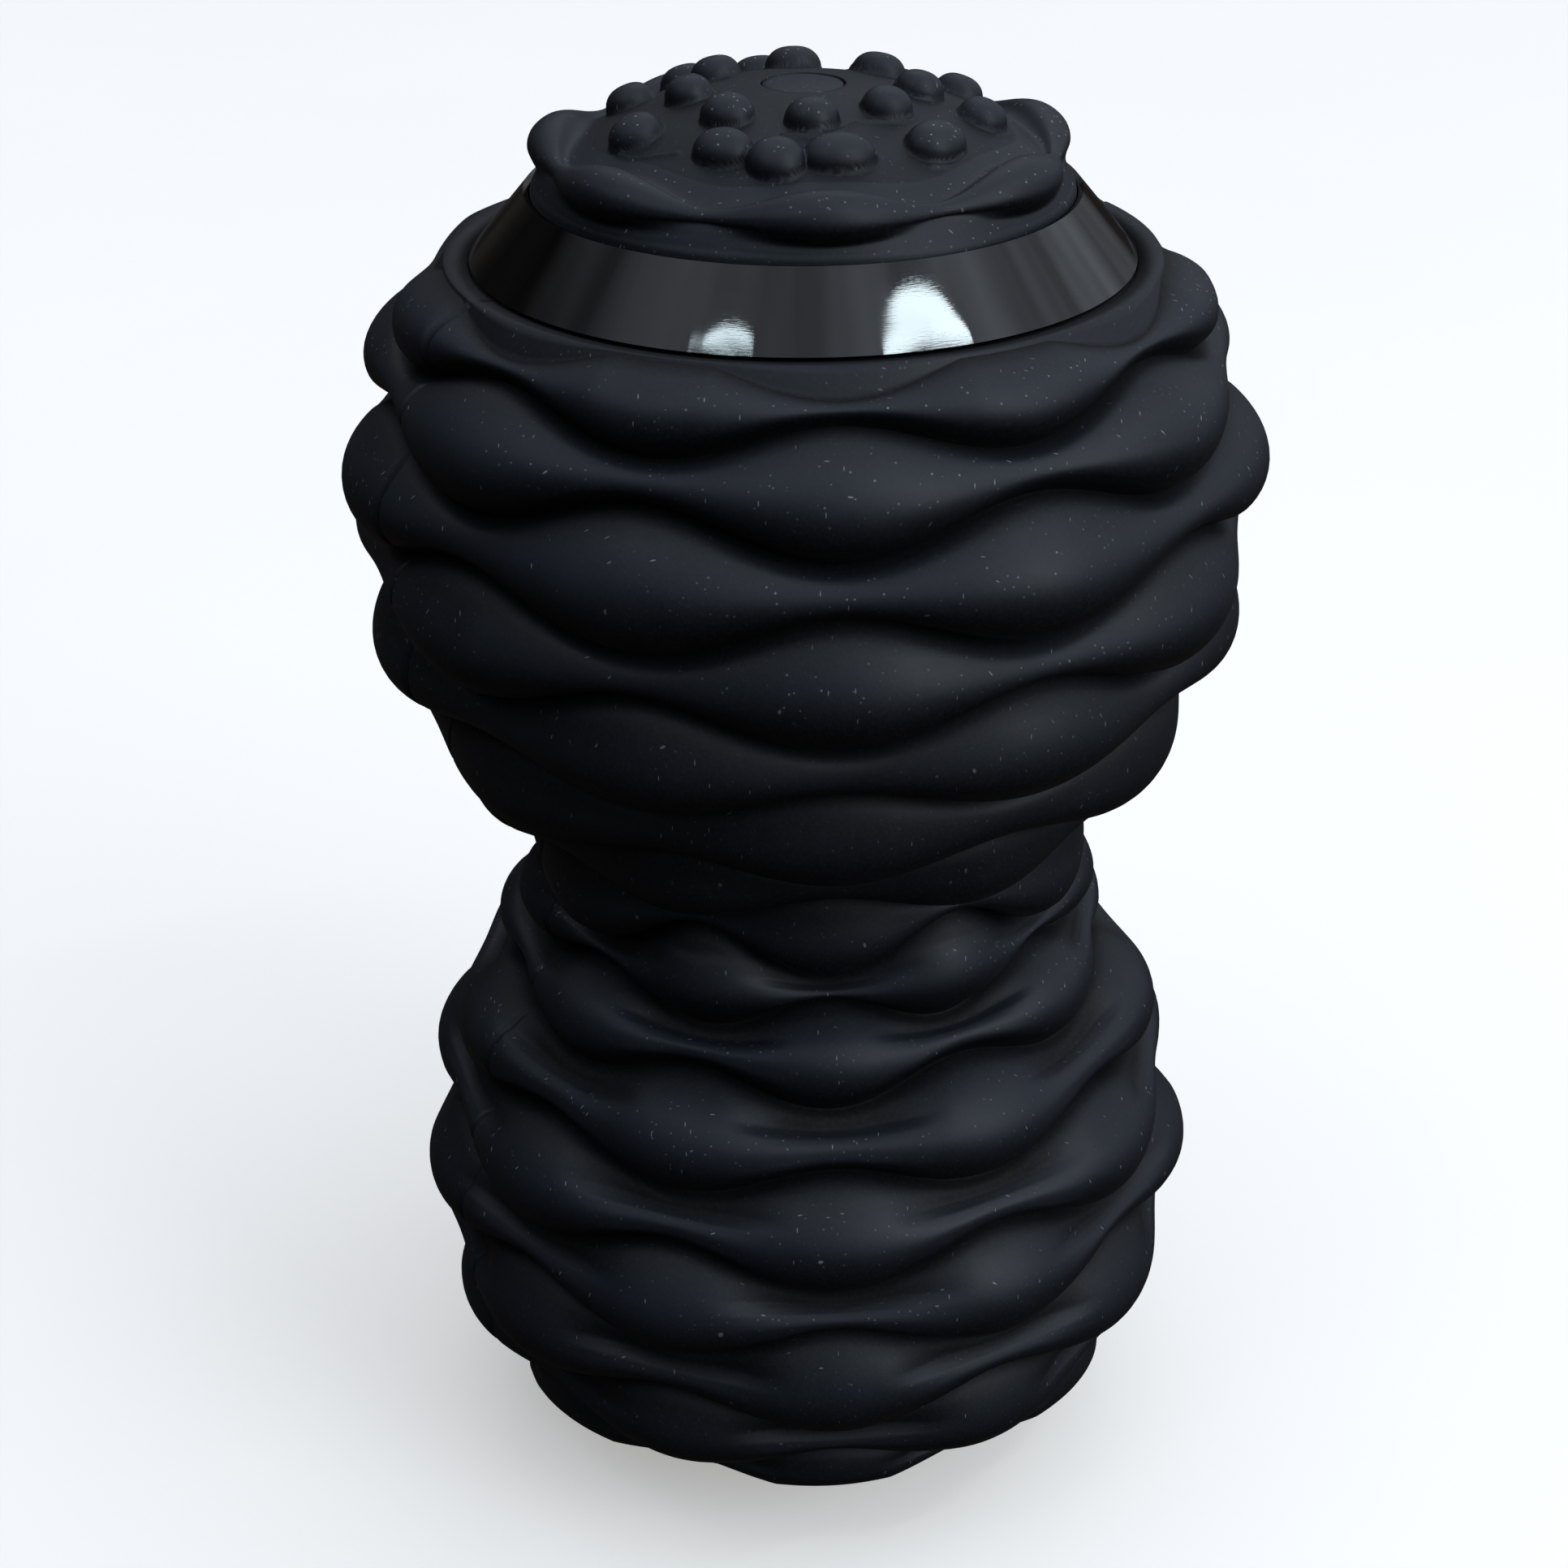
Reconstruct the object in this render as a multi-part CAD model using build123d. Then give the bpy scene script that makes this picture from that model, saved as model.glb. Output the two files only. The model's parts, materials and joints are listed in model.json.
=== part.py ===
from build123d import *
import math
import os

# Vibrating massage roller with two lobes. Millimetres, +Z up, origin at the centre of the foot.
# It stands on its foot pad, with the control pad on top and the charge socket underneath.

# ---- outer form -------------------------------------------------------------
WAIST_Z = 72.0            # height of the waist's middle
LOBE_OFFSET = 39.3        # waist to the widest point of each lobe
LOBE_R = 42.0             # lobe radius at the bottom of the grooves
WAIST_R = 28.5            # waist radius at the bottom of the grooves
WAIST_BLEND = 5.0         # softness of the bend between lobe and waist
LOWER_SCALE = 0.918       # the lower lobe is this much slimmer
LOWER_FADE = (60.0, 84.0) # heights over which the lower scale fades in
GROOVES = (7.36, 14.10, 22.73, 31.56, 40.28, 49.53, 57.32)   # groove distances from the waist
RIDGE_RATIO = 0.40        # ridge height over groove spacing
SKIN = 2.85               # silicone under a groove
WALL = 2.4                # hard shell
GAP = 0.1                 # assembly gap between fixed pieces
SLEEVE_ENDS = (9.1, 134.9)
SHELL_ENDS = (9.2, 134.8)

# ---- top end ----------------------------------------------------------------
TOP_RING_OUTER = (32.45, 135.3)
TOP_RING_INNER = (26.45, 141.8)
DOME_R = 45.0             # control pad's outer sphere
DOME_CENTRE_Z = 106.6
PAD_THICK = 2.3
PAD_R = 26.2
PAD_FLANGE = (28.0, 136.2, 137.4)
BUTTON_R = 4.0
BUTTON_GAP = 0.3
BUTTON_TRAVEL = 0.6
PLUNGER_PLATE = (147.1, 148.6)
PLUNGER_R, PLUNGER_STEM_R = 5.4, 1.8
STEM, STEM_R = (135.8, 139.4), 1.65      # the switch's own stem
RIM = (21.6, (24.4, 146.6), 143.0)     # foot radius, crest, and height of the outer shoulder
INNER_NUBS, INNER_NUB_R = 8, 10.8
NUB_TURN = 4.6            # angle of the first inner nub from the front, degrees
OUTER_NUB_R = 17.0
OUTER_NUBS = (-26, -8, 11, 46, 84, 120, 155, 194, 222, 253, 296)
NUB_SIZE, NUB_HEIGHT, NUB_ROOT = 2.5, 2.0, 1.2
DECK = (129.6, 131.6)
DECK_R = 29.5
BOARD = (133.0, 134.6)
BOARD_R = 20.5
BOARD_SCREW = 11.5        # x and y of the board's screws
DECK_SCREW = 16.7
LEAD_HOLES = ((0.35, 15.0), (7.55, 13.0), (0.35, -14.5))
CHIPS = ((5.0, 6.0, 1.5, (-8.5, 2.0)), (3.0, 3.0, 1.1, (8.0, 6.5)), (4.0, 4.0, 3.0, (8.5, -3.0)),
         (2.0, 1.2, 0.8, (-3.0, 9.5)), (2.0, 1.2, 0.8, (-14.5, -3.0)))     # x, y, height, place
LED_ANGLES = (-24, -8, 8, 24)

# ---- bottom end -------------------------------------------------------------
LOW_RING_OUTER = (29.7, 8.9)
LOW_RING_INNER = (24.25, 2.6)
FOOT_R = 20.5
FOOT_PAD_R = 24.1
PORT = (9.0, 3.3)         # charge jack's outline
PORT_TOP = 9.4
FLAP = (15.4, 9.4, 1.5)   # port flap
FLAP_AXIS = (-8.3, 1.05)  # x and z of its hinge
RECESS = (-9.6, 8.2, 2.0) # the flap's recess: x of both ends, and depth
LOW_SCREW = 12.4          # x and y of the end frame's screws
PIN_R = 0.45              # the flap's pivot pins
END_FRAME_TOP = 13.4
CHARGE_SCREWS = ((-9.4, 5.3), (9.4, -5.3))
CHARGE_BOARD = (PORT_TOP, PORT_TOP + 1.6)

# ---- drive ------------------------------------------------------------------
MOTOR_R = 13.85
MOTOR = (60.0, 98.0)
SHAFT_R = 1.15
RUNNING = 0.05
SHAFT = (46.0, 112.0)
WEIGHT_R = 14.5
LOWER_WEIGHT = (47.5, 56.5)
UPPER_WEIGHT = (102.0, 111.0)
DAMPERS = (62.0, 92.0)
DAMPER_H = 3.0
DAMPER_R = 15.3
END_CAP = (95.6, 98.0)
BUSH_R, BUSH_H = 3.0, 3.0
BUSHES = (58.6, 96.4)     # lower faces of the two bushes
TERMINALS = (-1.74, 2.44) # x of the two terminals
TERMINAL_Y = 9.0
CORE_STACK = (66.0, 88.0)
POLES = 5
HUB_R = 4.6
SET_SCREW_R = 1.25

# ---- battery ----------------------------------------------------------------
CELL_R, CELL_LENGTH = 9.1, 50.0
CELL_Y, CELL_Z = 9.4, 30.2
TRAY_FLOOR = 16.6
FOAM = (39.5, 41.2)

# ---- fasteners and leads ----------------------------------------------------
SHELL_BOSSES = ((33.0, 111.3), (20.0, 78.0), (29.3, 32.7))    # x and z, repeated at -x
SCREW_R, HEAD_R, HEAD_H = 1.25, 2.2, 1.6
SCREW_SEAT = 9.0          # y of the heads' seats
PILOT_DEPTH = 9.0
LEAD_R = 0.75
MOTOR_ROUTE = [(1.3, 9.6, 100.2), (1.3, 19.5, 100.2), (1.3, 19.5, 118), (1.3, 15, 126), (1.3, 15, 132.9)]
BATTERY_ROUTE = [(24.0, 15.2, 42.6), (17.0, 15.2, 46.5), (8.5, 16.3, 58), (8.5, 16.3, 92),
                 (8.5, 19.0, 112), (8.5, 13.0, 125), (8.5, 13.0, 132.9)]
CHARGE_ROUTE = [(1.3, -6.0, 12.2), (1.3, -21.2, 12.2), (1.3, -21.2, 44), (1.3, -17.9, 58),
                (1.3, -17.9, 92), (1.3, -19.5, 114), (1.3, -14.5, 125), (1.3, -14.5, 132.9)]
PAIR = 1.9                # distance between the two leads of a pair


def groove_radius(z):
    """Radius at the bottom of the grooves at height z."""
    away = abs(z - WAIST_Z)
    sphere = math.sqrt(LOBE_R**2 - (away - LOBE_OFFSET)**2)
    nearest = sphere if away < LOBE_OFFSET else LOBE_R
    blended = (nearest + WAIST_R + math.hypot(nearest - WAIST_R, WAIST_BLEND)) / 2
    radius = blended + sphere - nearest
    t = min(max((z - LOWER_FADE[0]) / (LOWER_FADE[1] - LOWER_FADE[0]), 0.0), 1.0)
    return radius * (LOWER_SCALE + (1 - LOWER_SCALE) * t * t * (3 - 2 * t))


def turned(points):
    """Solid of revolution about Z of a closed outline of (radius, z) points."""
    return revolve(Plane.XZ * make_face(Polyline(*points, close=True)), Axis.Z)


def tube(r_out, r_in, z0, z1):
    """Plain ring or tube about Z."""
    ring = Cylinder(r_out, z1 - z0, align=(Align.CENTER, Align.CENTER, Align.MIN))
    if r_in > 0:
        ring -= Cylinder(r_in, z1 - z0, align=(Align.CENTER, Align.CENTER, Align.MIN))
    return Pos(0, 0, z0) * ring


def bar(radius, length):
    """Cylinder that starts at the origin and runs along +Z."""
    return Cylinder(radius, length, align=(Align.CENTER, Align.CENTER, Align.MIN))


def square(half):
    """The four corners of a square, as x and y."""
    return [(sx * half, sy * half) for sx in (-1, 1) for sy in (-1, 1)]


def post(x, y, z0, z1, radius):
    """Upright cylinder."""
    return Pos(x, y, 0) * tube(radius, 0, z0, z1)


def slab(x, y, z0, z1, at=(0, 0)):
    """Upright box centred on a point."""
    return Pos(at[0], at[1], z0) * Box(x, y, z1 - z0, align=(Align.CENTER, Align.CENTER, Align.MIN))


def core_points(offset, z0, z1, count=24):
    """Points of the body's outline, moved inwards by offset."""
    heights = [z0 + (z1 - z0) * i / count for i in range(count + 1)]
    return [(groove_radius(z) - offset, z) for z in heights]


def core(offset, z0, z1):
    """Solid body of revolution that lies offset below the grooves."""
    points = core_points(offset, z0, z1)
    outline = Spline(*points) + Polyline(points[-1], (0, z1), (0, z0), points[0])
    return revolve(Plane.XZ * make_face(outline), Axis.Z)


def dome_z(radius, sphere=DOME_R):
    """Height of a dome of the control pad at a radius."""
    return DOME_CENTRE_Z + math.sqrt(sphere**2 - radius**2)


def dome_arc(sphere, r0, r1):
    """Arc along a dome between two radii."""
    middle = (r0 + r1) / 2
    ends = [(r, dome_z(r, sphere)) for r in (r0, middle, r1)]
    return ThreePointArc(*ends)


def around(radius, degrees):
    """x and y at an angle from the front, turning towards +X."""
    turn = math.radians(degrees)
    return radius * math.sin(turn), -radius * math.cos(turn)


def screw(x, y, z_seat, length, up=True):
    """Pan head screw: the head sits on z_seat and the shank runs the other way."""
    way = 1 if up else -1
    head = post(x, y, *sorted((z_seat, z_seat + way * HEAD_H)), HEAD_R)
    shank = post(x, y, *sorted((z_seat, z_seat - way * length)), SCREW_R)
    return head + shank


def lead(points, radius=LEAD_R, bend=5.0):
    """Insulated lead along straight runs joined by arcs."""
    path = FilletPolyline(*points, radius=bend)
    return sweep(Plane(path @ 0, z_dir=path % 0) * Circle(radius), path)


# ---- leads' routes ----------------------------------------------------------
def shifted(points, dx):
    return [(x + dx, y, z) for x, y, z in points]


def lead_pair(route, radius=LEAD_R, bend=5.0):
    return [lead(shifted(route, dx), radius, bend) for dx in (0, -PAIR)]


def motor_leads():
    return Compound(lead_pair(MOTOR_ROUTE))


def battery_leads():
    return Compound(lead_pair(BATTERY_ROUTE, bend=3.5))


def charge_leads():
    return Compound(lead_pair(CHARGE_ROUTE, bend=2.5))


def lead_channels():
    """Room for the leads where they cross the ribs."""
    ducts = []
    for route in (MOTOR_ROUTE, BATTERY_ROUTE, CHARGE_ROUTE):
        for (x0, y0, z0), (x1, y1, z1) in zip(route, route[1:]):
            if abs(z1 - z0) > 3:
                ends = ((x0 - PAIR / 2, y0, z0 - 2), (x1 - PAIR / 2, y1, z1 + 2))
                path = Line(*ends)
                ducts.append(sweep(Plane(path @ 0, z_dir=path % 0) * Rectangle(2 * PAIR + 1.2, 4.4), path))
    return ducts


# ---- outer pieces -----------------------------------------------------------
def sleeve_section(low, high):
    """Ring of sleeve between two heights, with one rounded ridge between each pair of grooves."""
    grooves = [WAIST_Z + side * g for g in (0, *GROOVES) for side in (-1, 1)]
    heights = sorted({low, high, *(z for z in grooves if low < z < high)})
    valleys = [(groove_radius(z), z) for z in heights]
    inner = core_points(SKIN, low, high)
    outline = Spline(*inner) + Line(inner[-1], valleys[-1]) + Line(inner[0], valleys[0])
    for (r0, z0), (r1, z1) in zip(valleys, valleys[1:]):
        spacing = math.hypot(r1 - r0, z1 - z0)
        out_r, out_z = (z1 - z0) / spacing, (r0 - r1) / spacing
        height = RIDGE_RATIO * spacing
        crest = ((r0 + r1) / 2 + out_r * height, (z0 + z1) / 2 + out_z * height)
        outline += ThreePointArc((r0, z0), crest, (r1, z1))
    return revolve(Plane.XZ * make_face(outline), Axis.Z)


def silicone_sleeve():
    """One moulding, in three sections that meet in the grooves on either side of the waist."""
    low, high = SLEEVE_ENDS
    cuts = (low, WAIST_Z - GROOVES[0], WAIST_Z + GROOVES[0], high)
    return Compound([sleeve_section(z0, z1) for z0, z1 in zip(cuts, cuts[1:])])


def top_trim_ring():
    (r0, z0), (r1, z1) = TOP_RING_OUTER, TOP_RING_INNER
    step_r, step_z = PAD_FLANGE[0] + 0.3, PAD_FLANGE[2] + 0.2
    skirt_r, low = 29.6, DECK[1] + GAP
    return turned([(r0, z0), (r1 + 0.5, z1), (r1, z1 - 0.3), (r1, step_z), (step_r, step_z), (step_r, low),
                   (skirt_r, low), (skirt_r, z0 - 0.15), (r0 - 0.1, z0 - 0.15)])


def bottom_trim_ring():
    (r0, z0), (r1, z1) = LOW_RING_OUTER, LOW_RING_INNER
    step_r, step_z = 25.6, 5.6
    skirt_r, high = 26.9, 11.9
    return turned([(r0, z0), (r1 + 0.5, z1), (r1, z1 + 0.3), (r1, step_z), (step_r, step_z), (step_r, high),
                   (skirt_r, high), (skirt_r, z0 + 0.15), (r0 - 0.1, z0 + 0.15)])


def control_pad():
    hole = BUTTON_R + BUTTON_GAP
    under = DOME_R - PAD_THICK
    flange_r, low, high = PAD_FLANGE
    inner_r = PAD_R - 1.9
    rim_foot, rim_crest, shoulder = RIM
    skin = dome_arc(DOME_R, hole, rim_foot)
    skin += ThreePointArc((rim_foot, dome_z(rim_foot)), rim_crest, (PAD_R, shoulder))
    skin += Polyline((PAD_R, shoulder), (PAD_R, high), (flange_r, high), (flange_r, low),
                     (inner_r, low), (inner_r, dome_z(inner_r, under)))
    skin += dome_arc(under, inner_r, hole)
    skin += Line((hole, dome_z(hole, under)), (hole, dome_z(hole)))
    pad = revolve(Plane.XZ * make_face(skin), Axis.Z)
    for i in range(INNER_NUBS):
        pad += nub(INNER_NUB_R, NUB_TURN + 360 / INNER_NUBS * i)
    for degrees in OUTER_NUBS:
        pad += nub(OUTER_NUB_R, degrees)
    return pad


def nub(radius, degrees):
    """Round nub that stands square to the dome, with its root inside the pad's skin."""
    x, y = around(radius, degrees)
    place = Plane(origin=(x, y, dome_z(radius)), z_dir=(x, y, dome_z(radius) - DOME_CENTRE_Z))
    peg = Cylinder(NUB_SIZE, NUB_ROOT + NUB_HEIGHT, align=(Align.CENTER, Align.CENTER, Align.MIN))
    peg = fillet(peg.edges().group_by(Axis.Z)[-1], NUB_HEIGHT - 0.1)
    return place * Pos(0, 0, -NUB_ROOT) * peg


def power_button():
    cap = tube(BUTTON_R, 0, PLUNGER_PLATE[1], DOME_CENTRE_Z + DOME_R + 1)
    return cap & Pos(0, 0, DOME_CENTRE_Z) * Sphere(DOME_R)


def button_plunger():
    return tube(PLUNGER_R, 0, *PLUNGER_PLATE) + tube(PLUNGER_STEM_R, 0, STEM[1] + GAP, PLUNGER_PLATE[0])


def foot_pad():
    ring_z = LOW_RING_INNER[1]
    body = turned([(0, 0.5), (12, 0.5), (12.5, 0), (FOOT_R, 0), (FOOT_PAD_R, ring_z), (FOOT_PAD_R, 5.7),
                   (25.4, 5.7), (25.4, 6.9), (22.1, 6.9), (22.1, 3.2), (0, 3.2)])
    width = FLAP[1]
    hinge_x, hinge_z = FLAP_AXIS
    near, far, depth = RECESS
    recess = slab(far - near, width + 0.7, -1, depth, at=((near + far) / 2, 0))
    hole = slab(PORT[0] + 0.6, PORT[1] + 0.6, -1, 4)
    sockets = Pos(hinge_x, 0, hinge_z) * Rot(90, 0, 0) * Cylinder(PIN_R + RUNNING, width + 3.4)
    return body - recess - hole - sockets


def port_cover():
    length, width, thick = FLAP
    hinge_x, hinge_z = FLAP_AXIS
    far_x = length / 2
    plate = Pos((hinge_x + far_x) / 2, 0, hinge_z) * Box(far_x - hinge_x, width, thick)
    knuckle = Pos(hinge_x, 0, hinge_z) * Rot(90, 0, 0) * Cylinder(thick / 2, width)
    pins = Pos(hinge_x, 0, hinge_z) * Rot(90, 0, 0) * Cylinder(PIN_R, width + 3.0)
    nail_slot = Pos(far_x, 0, hinge_z - thick / 2) * Box(2.4, 5.0, 0.9)
    return plate + knuckle + pins - nail_slot


# ---- hard core --------------------------------------------------------------
def shell_screw_places():
    return [(side * x, z) for x, z in SHELL_BOSSES for side in (-1, 1)]


def hard_shell():
    """Both halves of the hard core in one, before it is split."""
    low, high = SHELL_ENDS
    outside = SKIN + GAP
    inside = outside + WALL
    shell = core(outside, low, high) - core(inside, low - 1, high + 1)
    ribs = [(DECK[0] - 2.2, DECK[0] - GAP, 19.5), (FOAM[1] + GAP, 43.2, 15.0)]
    ribs.append((END_FRAME_TOP, TRAY_FLOOR - GAP, 11.0))
    ribs += [(z, z + DAMPER_H, DAMPER_R + GAP) for z in DAMPERS]
    filling = core(inside - 0.5, low, high)
    for z0, z1, hole in ribs:
        shell += tube(60, hole, z0, z1) & filling
    for x, z in shell_screw_places():
        shell += Pos(x, 0, z) * Rot(90, 0, 0) * Cylinder(3.1, 80) & filling
    pilot = bar(SCREW_R + 0.02, PILOT_DEPTH + SCREW_SEAT + 1)
    for x, z in shell_screw_places():
        shell -= Pos(x, -PILOT_DEPTH, z) * Rot(-90, 0, 0) * pilot
        shell -= Pos(x, SCREW_SEAT, z) * Rot(-90, 0, 0) * bar(HEAD_R + 0.3, 60)
    for duct in lead_channels():
        shell -= duct
    for x, y in square(LOW_SCREW):
        shell -= post(x, y, 13, 17, SCREW_R + 0.02)
    for x, y in square(DECK_SCREW):
        shell -= post(x, y, 127, 130, SCREW_R + 0.02)
    return shell


def shell_screws():
    one = bar(HEAD_R, HEAD_H) + Rot(180, 0, 0) * bar(SCREW_R, SCREW_SEAT + PILOT_DEPTH - 0.5)
    return Compound([Pos(x, SCREW_SEAT, z) * Rot(-90, 0, 0) * one for x, z in shell_screw_places()])


def control_deck():
    deck = tube(DECK_R, 0, *DECK)
    for x, y in square(BOARD_SCREW):
        deck += post(x, y, DECK[1], BOARD[0], 2.6)
        deck -= post(x, y, DECK[0], BOARD[0], 1.0)
    for x, y in square(DECK_SCREW):
        deck -= post(x, y, DECK[0] - 1, DECK[1] + 1, SCREW_R + 0.05)
    for x, y in LEAD_HOLES:
        deck -= slab(6.2, 5.6, DECK[0] - 1, DECK[1] + 1, at=(x, y))
    return deck


def deck_screws():
    return Compound([screw(x, y, DECK[1], 4.0) for x, y in square(DECK_SCREW)])


def pad_support():
    flange_r, low = PAD_FLANGE[:2]
    outer, inner = DOME_R - PAD_THICK - 0.2, DOME_R - PAD_THICK - 1.8
    wall_out, wall_in, hole = PAD_R - 2.1, 22.5, 6.4
    base = DECK[1] + GAP
    skin = dome_arc(outer, hole, wall_out)
    skin += Polyline((wall_out, dome_z(wall_out, outer)), (wall_out, low - GAP), (flange_r, low - GAP),
                     (flange_r, base), (26.3, base), (26.3, low - 2.5), (wall_in, low - 2.0),
                     (wall_in, dome_z(wall_in, inner)))
    skin += dome_arc(inner, wall_in, hole)
    skin += Line((hole, dome_z(hole, inner)), (hole, dome_z(hole, outer)))
    return revolve(Plane.XZ * make_face(skin), Axis.Z)


def bottom_end_frame():
    top = END_FRAME_TOP - GAP
    frame = turned([(0, 3.3), (22.0, 3.3), (22.0, 7.0), (25.4, 7.0), (25.4, top), (23.6, top), (23.6, 8.6),
                    (20.4, 8.6), (20.4, 5.3), (0, 5.3)])
    for x, y in square(LOW_SCREW):
        frame += post(x, y, 5.3, top, 3.4)
        frame -= post(x, y, 3, 7.3, HEAD_R + 0.3)
        frame -= post(x, y, 7, top + 1, SCREW_R + 0.05)
    for x, y in CHARGE_SCREWS:
        frame += post(x, y, 5.3, PORT_TOP, 1.9)
        frame -= post(x, y, 4.5, PORT_TOP, 0.9)
    return frame - slab(PORT[0] + 0.6, PORT[1] + 0.6, 3, 6)


def end_frame_screws():
    return Compound([screw(x, y, 7.3, 8.9, up=False) for x, y in square(LOW_SCREW)])


# ---- electronics ------------------------------------------------------------
def control_board():
    board = tube(BOARD_R, 0, *BOARD)
    for x, y in square(BOARD_SCREW):
        board -= post(x, y, BOARD[0] - 1, BOARD[1] + 1, 1.1)
    return board


def board_screws():
    one = bar(1.9, 1.2) + Rot(180, 0, 0) * bar(0.95, 4.6)
    return Compound([Pos(x, y, BOARD[1]) * one for x, y in square(BOARD_SCREW)])


def switch_body():
    body = slab(6.2, 6.2, BOARD[1], 138.1)
    return body - tube(STEM_R + RUNNING, 0, STEM[0] - BUTTON_TRAVEL - 0.2, 139)


def switch_stem():
    return tube(STEM_R, 0, *STEM)


def indicator_leds():
    spots = [around(15.5, degrees) for degrees in LED_ANGLES]
    return Compound([slab(2.0, 1.25, BOARD[1], BOARD[1] + 0.8, at=spot) for spot in spots])


def board_chips():
    return Compound([slab(x, y, BOARD[1], BOARD[1] + h, at=at) for x, y, h, at in CHIPS])


def charge_board():
    board = slab(24, 15.5, *CHARGE_BOARD)
    for x, y in CHARGE_SCREWS:
        board -= post(x, y, 9, 12, 1.0)
    return board


def charge_board_screws():
    one = bar(1.7, 1.1) + Rot(180, 0, 0) * bar(0.85, 4.8)
    return Compound([Pos(x, y, CHARGE_BOARD[1]) * one for x, y in CHARGE_SCREWS])


def stadium(length, width, z0, z1):
    """Upright slot-shaped block."""
    return extrude(Plane.XY.offset(z0) * SlotOverall(length, width), z1 - z0)


def charge_jack():
    mouth = 2.05
    can = stadium(*PORT, mouth, PORT_TOP)
    can -= stadium(PORT[0] - 0.6, PORT[1] - 0.6, mouth - 1, PORT_TOP - 1.0)
    return can + slab(6.7, 0.7, mouth + 0.9, PORT_TOP - 0.9)


# ---- battery ----------------------------------------------------------------
def battery_cell(side):
    return Pos(-CELL_LENGTH / 2, side * CELL_Y, CELL_Z) * Rot(0, 90, 0) * bar(CELL_R, CELL_LENGTH)


def battery_tray():
    tray = slab(54.0, 37.4, TRAY_FLOOR, CELL_Z)
    for side in (-1, 1):
        tray -= Pos(-CELL_LENGTH / 2 - 0.9, side * CELL_Y, CELL_Z) * Rot(0, 90, 0) * bar(
            CELL_R + 0.15, CELL_LENGTH + 1.8)
    tray -= Pos(-CELL_LENGTH / 2 - 0.45, 0, CELL_Z) * Box(0.9, 2 * CELL_Y, CELL_R)
    for x, y in square(LOW_SCREW):
        tray -= post(x, y, TRAY_FLOOR - 1, TRAY_FLOOR + 0.6, 2.0)
    for duct in lead_channels():
        tray -= duct
    return tray & core(SKIN + GAP + WALL + 0.3, 10, 134)


def battery_contacts():
    """A strip joins the cells at one end, and each has its own tab at the other."""
    x, thick, size = CELL_LENGTH / 2 + 0.35, 0.3, 7.0
    strip = Pos(-x, 0, CELL_Z) * Box(thick, 2 * CELL_Y + size, size)
    tabs = [Pos(x, side * CELL_Y, CELL_Z) * Box(thick, size, size) for side in (-1, 1)]
    return Compound([strip, *tabs])


def battery_foam():
    pad = slab(34, 26, *FOAM)
    return pad & core(SKIN + GAP + WALL + 1, 10, 134)


# ---- motor ------------------------------------------------------------------
def motor_can():
    low = MOTOR[0]
    can = tube(MOTOR_R, 0, low, END_CAP[0]) - tube(MOTOR_R - 1.0, 0, low + 1.2, 100)
    can += tube(5.0, 0, low - 1.6, low + 1.2)
    return can - tube(BUSH_R + 0.02, 0, low - 2, low + 3)


def motor_end_cap():
    low, high = END_CAP
    cap = tube(MOTOR_R, 0, low + 0.05, high) + tube(MOTOR_R - 1.1, 0, low - 2.2, low + 0.1)
    cap += tube(5.0, 0, high, high + 1.6)
    for x in TERMINALS:
        cap -= slab(2.6, 0.7, 90, 100, at=(x, TERMINAL_Y))
    return cap - tube(BUSH_R + 0.02, 0, 90, 101)


def motor_terminals():
    low = END_CAP[0] - 2.0
    return Compound([slab(2.4, 0.5, low, 101.0, at=(x, TERMINAL_Y)) for x in TERMINALS])


def motor_bush(low):
    return tube(BUSH_R, SHAFT_R + RUNNING, low, low + BUSH_H)


def motor_magnets():
    ring = tube(MOTOR_R - 1.1, 10.6, 64.5, 90.5)
    return ring - slab(6, 60, 60, 95)


def motor_dampers():
    return Compound([tube(DAMPER_R, MOTOR_R + 0.02, z, z + DAMPER_H) for z in DAMPERS])


def motor_shaft():
    return tube(SHAFT_R, 0, *SHAFT)


def at_poles(one):
    """Copies of a shape round the shaft, one for each pole."""
    return [Rot(0, 0, 360 / POLES * i) * one for i in range(POLES)]


def armature_core():
    low, high = CORE_STACK
    slots = at_poles(slab(3.0, 3.4, low - 1, high + 1, at=(7.6, 0)))
    mouths = at_poles(slab(2.4, 1.0, low - 1, high + 1, at=(9.5, 0)))
    stack = tube(10.0, SHAFT_R, low, high)
    for cut in slots + mouths:
        stack -= cut
    return stack


def armature_coils():
    low, high = CORE_STACK
    return Compound(at_poles(slab(2.6, 3.0, low - 1.2, high + 1.2, at=(7.6, 0))))


def commutator():
    return tube(3.4, SHAFT_R, 89.6, 92.8)


def eccentric_weight(z0, z1):
    """Half disc on a hub, locked to the shaft by a set screw."""
    heavy = tube(WEIGHT_R, 0, z0, z1) & slab(40, 20, z0, z1, at=(0, 10))
    weight = heavy + tube(HUB_R, 0, z0, z1)
    weight -= tube(SHAFT_R, 0, z0 - 1, z1 + 1)
    middle = (z0 + z1) / 2
    return weight - Pos(0, 0, middle) * Rot(90, 0, 0) * bar(SET_SCREW_R, 8)


def weight_screws():
    screws = []
    for z0, z1 in (LOWER_WEIGHT, UPPER_WEIGHT):
        screws.append(Pos(0, -SHAFT_R - 0.02, (z0 + z1) / 2) * Rot(90, 0, 0) * bar(SET_SCREW_R - 0.03, 3.2))
    return Compound(screws)


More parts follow.
